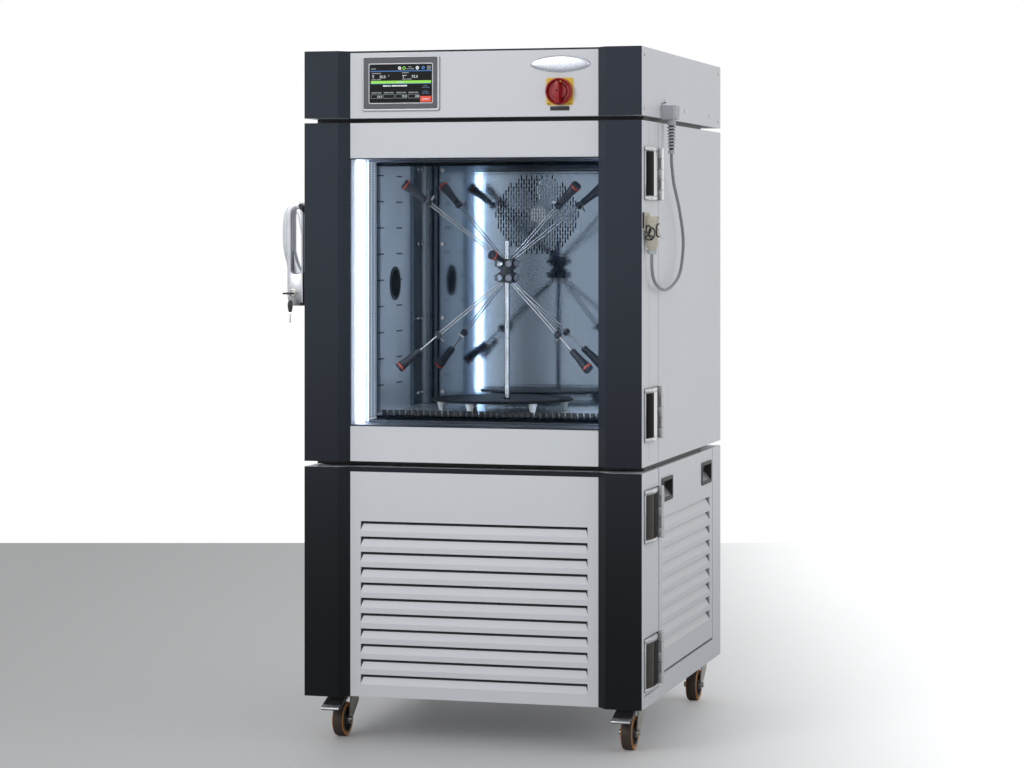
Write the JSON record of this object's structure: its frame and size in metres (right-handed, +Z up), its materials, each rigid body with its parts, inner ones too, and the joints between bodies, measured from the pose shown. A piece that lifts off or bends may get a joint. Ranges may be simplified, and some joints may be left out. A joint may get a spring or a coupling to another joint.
{
  "type": "environmental test chamber",
  "caption": "Free-standing climatic test chamber on castors with a glazed hinged door, an inner test space with fan and probe stand, a louvred machine bay and a control box with display.",
  "frame": {"origin": "on the floor under the middle of the whole object's box", "axes": "+X to the object's right as seen from the front, +Y from the front to the back, +Z up"},
  "size_m": [0.916, 0.904, 1.6],
  "materials": {
    "panel_paint": "satin light grey coat",
    "column_paint": "satin anthracite coat",
    "black_plastic": "fine grain",
    "foam": "cut foam",
    "steel": "brushed",
    "zinc": "zinc plated",
    "machine_paint": "gloss black coat",
    "aluminium": "satin",
    "heater_steel": "heat stained",
    "glass": "clear",
    "light_plastic": "white diffuser",
    "rubber": "matt",
    "screen": "glossy",
    "yellow_plastic": "satin",
    "red_plastic": "satin",
    "beige_plastic": "fine grain",
    "grey_plastic": "fine grain",
    "tyre": "matt tread",
    "key_metal": "nickel plated"
  },
  "bodies": {
    "cabinet": {"base_frame": "panel_paint", "lower_frame": "panel_paint", "spacer_plinths": "black_plastic", "rear_panel": "panel_paint", "chamber_shell": "panel_paint", "insulation": "foam", "liner": "steel", "air_baffle": "steel", "fan_motor": "machine_paint", "heater": "heater_steel", "evaporator": "aluminium", "port_sleeve": "black_plastic", "control_box": "panel_paint", "control_panel": "panel_paint", "control_columns": "column_paint", "display_frame": "aluminium", "display_screen": "screen", "switch_plate": "yellow_plastic", "cabinet_hinges": "steel", "compressor": "machine_paint", "condenser": "aluminium", "cord_outlet": "grey_plastic", "cord": "rubber", "probe_stand": "machine_paint"},
    "right_panel": {"right_side_panel": "panel_paint"},
    "left_panel": {"left_side_panel": "panel_paint"},
    "fan": {"fan_rotor": "aluminium"},
    "condenser_fan": {"condenser_fan": "black_plastic"},
    "door": {"door_columns": "column_paint", "door_front_panel": "panel_paint", "door_casing": "panel_paint", "door_foam": "foam", "door_glass": "glass", "pane_spacers": "aluminium", "light_bars": "light_plastic", "door_seal": "rubber", "door_hinges": "steel", "connector_socket": "beige_plastic", "connector_plug": "beige_plastic", "handle_base": "black_plastic"},
    "handle": {"handle_grip": "aluminium"},
    "key": {"keys": "key_metal"},
    "lower_door": {"lower_columns": "column_paint", "lower_front_panel": "panel_paint", "lower_door_casing": "panel_paint", "lower_door_hinges": "steel"},
    "main_switch": {"switch_knob": "red_plastic"},
    "probe_carrier": {"probe_head": "machine_paint", "probe_arms": "steel", "probes": "black_plastic"},
    "castor_fl": {"castor_fork_fl": "zinc"},
    "wheel_fl": {"castor_wheel_fl": "tyre"},
    "castor_fr": {"castor_fork_fr": "zinc"},
    "wheel_fr": {"castor_wheel_fr": "tyre"},
    "castor_rl": {"castor_fork_rl": "zinc"},
    "wheel_rl": {"castor_wheel_rl": "tyre"},
    "castor_rr": {"castor_fork_rr": "zinc"},
    "wheel_rr": {"castor_wheel_rr": "tyre"},
    "pedal_fl": {"brake_pedal_fl": "black_plastic"},
    "pedal_fr": {"brake_pedal_fr": "black_plastic"}
  },
  "joints": [
    {"name": "door_hinge", "type": "hinge", "parent": "cabinet", "child": "door", "pos_m": [0.429, -0.272, 1.04], "axis": [0, 0, 1], "range_deg": [0, 110], "deforming": ["cord"]},
    {"name": "lower_door_hinge", "type": "hinge", "parent": "cabinet", "child": "lower_door", "pos_m": [0.429, -0.272, 0.375], "axis": [0, 0, 1], "range_deg": [0, 90]},
    {"name": "handle_hinge", "type": "hinge", "parent": "door", "child": "handle", "pos_m": [-0.405, -0.386, 1.131], "axis": [0, 0, 1], "range_deg": [0, 25]},
    {"name": "key_turn", "type": "hinge", "parent": "handle", "child": "key", "pos_m": [-0.426, -0.39, 1.039], "axis": [0, 1, 0], "range_deg": [0, 90]},
    {"name": "switch_turn", "type": "hinge", "parent": "cabinet", "child": "main_switch", "pos_m": [0.227, -0.44, 1.501], "axis": [0, 1, 0], "range_deg": [0, 90]},
    {"name": "fan_spin", "type": "hinge", "parent": "cabinet", "child": "fan", "pos_m": [0.022, 0.19, 1.225], "axis": [0, 1, 0], "continuous": true},
    {"name": "condenser_fan_spin", "type": "hinge", "parent": "cabinet", "child": "condenser_fan", "pos_m": [0.022, -0.16, 0.2771], "axis": [0, 1, 0], "continuous": true},
    {"name": "probe_slide", "type": "slide", "parent": "cabinet", "child": "probe_carrier", "axis": [0, 0, 1], "range_m": [-0.05, 0.04]},
    {"name": "right_panel_slide", "type": "slide", "parent": "cabinet", "child": "right_panel", "axis": [1, 0, 0], "range_m": [0, 0.06]},
    {"name": "left_panel_slide", "type": "slide", "parent": "cabinet", "child": "left_panel", "axis": [-1, 0, 0], "range_m": [0, 0.06]},
    {"name": "swivel_fl", "type": "hinge", "parent": "cabinet", "child": "castor_fl", "pos_m": [-0.324, -0.298, 0.096], "axis": [0, 0, 1], "continuous": true},
    {"name": "roll_fl", "type": "hinge", "parent": "castor_fl", "child": "wheel_fl", "pos_m": [-0.324, -0.332, 0.04], "axis": [1, 0, 0], "continuous": true},
    {"name": "swivel_fr", "type": "hinge", "parent": "cabinet", "child": "castor_fr", "pos_m": [0.368, -0.298, 0.096], "axis": [0, 0, 1], "continuous": true},
    {"name": "roll_fr", "type": "hinge", "parent": "castor_fr", "child": "wheel_fr", "pos_m": [0.368, -0.332, 0.04], "axis": [1, 0, 0], "continuous": true},
    {"name": "swivel_rl", "type": "hinge", "parent": "cabinet", "child": "castor_rl", "pos_m": [-0.324, 0.414, 0.096], "axis": [0, 0, 1], "continuous": true},
    {"name": "roll_rl", "type": "hinge", "parent": "castor_rl", "child": "wheel_rl", "pos_m": [-0.324, 0.38, 0.04], "axis": [1, 0, 0], "continuous": true},
    {"name": "swivel_rr", "type": "hinge", "parent": "cabinet", "child": "castor_rr", "pos_m": [0.368, 0.414, 0.096], "axis": [0, 0, 1], "continuous": true},
    {"name": "roll_rr", "type": "hinge", "parent": "castor_rr", "child": "wheel_rr", "pos_m": [0.368, 0.38, 0.04], "axis": [1, 0, 0], "continuous": true},
    {"name": "brake_fl", "type": "hinge", "parent": "castor_fl", "child": "pedal_fl", "pos_m": [-0.324, -0.364, 0.095], "axis": [1, 0, 0], "range_deg": [0, 12]},
    {"name": "brake_fr", "type": "hinge", "parent": "castor_fr", "child": "pedal_fr", "pos_m": [0.368, -0.364, 0.095], "axis": [1, 0, 0], "range_deg": [0, 12]}
  ]
}
